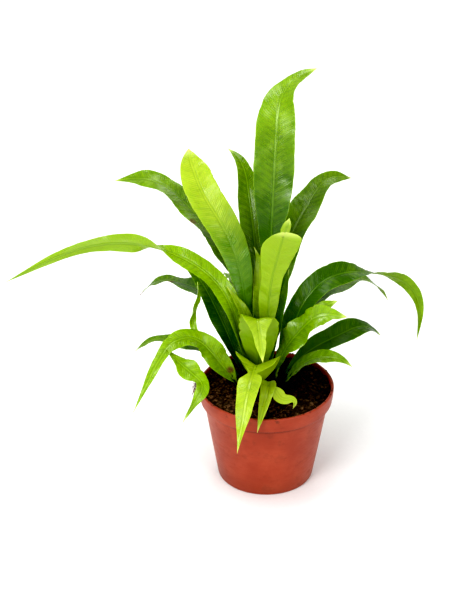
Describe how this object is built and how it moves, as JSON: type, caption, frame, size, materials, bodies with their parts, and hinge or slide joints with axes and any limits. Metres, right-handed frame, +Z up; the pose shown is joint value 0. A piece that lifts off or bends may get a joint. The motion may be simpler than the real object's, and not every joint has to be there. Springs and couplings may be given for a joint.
{
  "type": "potted japanese birds nest fern",
  "caption": "Young bird's-nest fern: a rosette of long strap fronds, some waved, twisted, folded or forked, rooted in peat in a tapered round nursery pot.",
  "frame": {"origin": "middle of the pot's underside, on the surface that it stands on", "axes": "+Z up; the plant's front, the side that the picture shows, faces -Y; +X to the right seen from the front"},
  "size_m": [0.3587, 0.245, 0.3573],
  "materials": {
    "pot": "satin",
    "soil": "matte",
    "crown": "matte",
    "young_frond": "satin",
    "mature_frond": "satin"
  },
  "bodies": {
    "root": {"pot": "pot", "soil": "soil", "crown": "crown", "frond_01_tall_left": "young_frond", "frond_02_front_upright": "young_frond", "frond_03_tall_back": "mature_frond", "frond_04_long_left": "mature_frond", "frond_05_arching_right": "mature_frond", "frond_06_waved_right": "mature_frond", "frond_07_low_right": "mature_frond", "frond_08_short_right": "mature_frond", "frond_09_over_the_rim": "young_frond", "frond_10_small_front": "young_frond", "frond_11_folded_front": "young_frond", "frond_12_forked_left": "mature_frond", "frond_13_shaded_left": "mature_frond", "frond_14_slender_right": "young_frond", "frond_15_back_right": "mature_frond", "frond_16_back_left": "mature_frond", "frond_17_drooping_right": "mature_frond", "frond_18_drooping_back": "mature_frond", "frond_19_forked_back": "mature_frond", "frond_20_drooping_left": "mature_frond", "frond_21_young_left": "young_frond", "frond_22_upright_back": "mature_frond", "frond_23_inner_back": "young_frond", "frond_24_low_left": "mature_frond"}
  },
  "joints": []
}
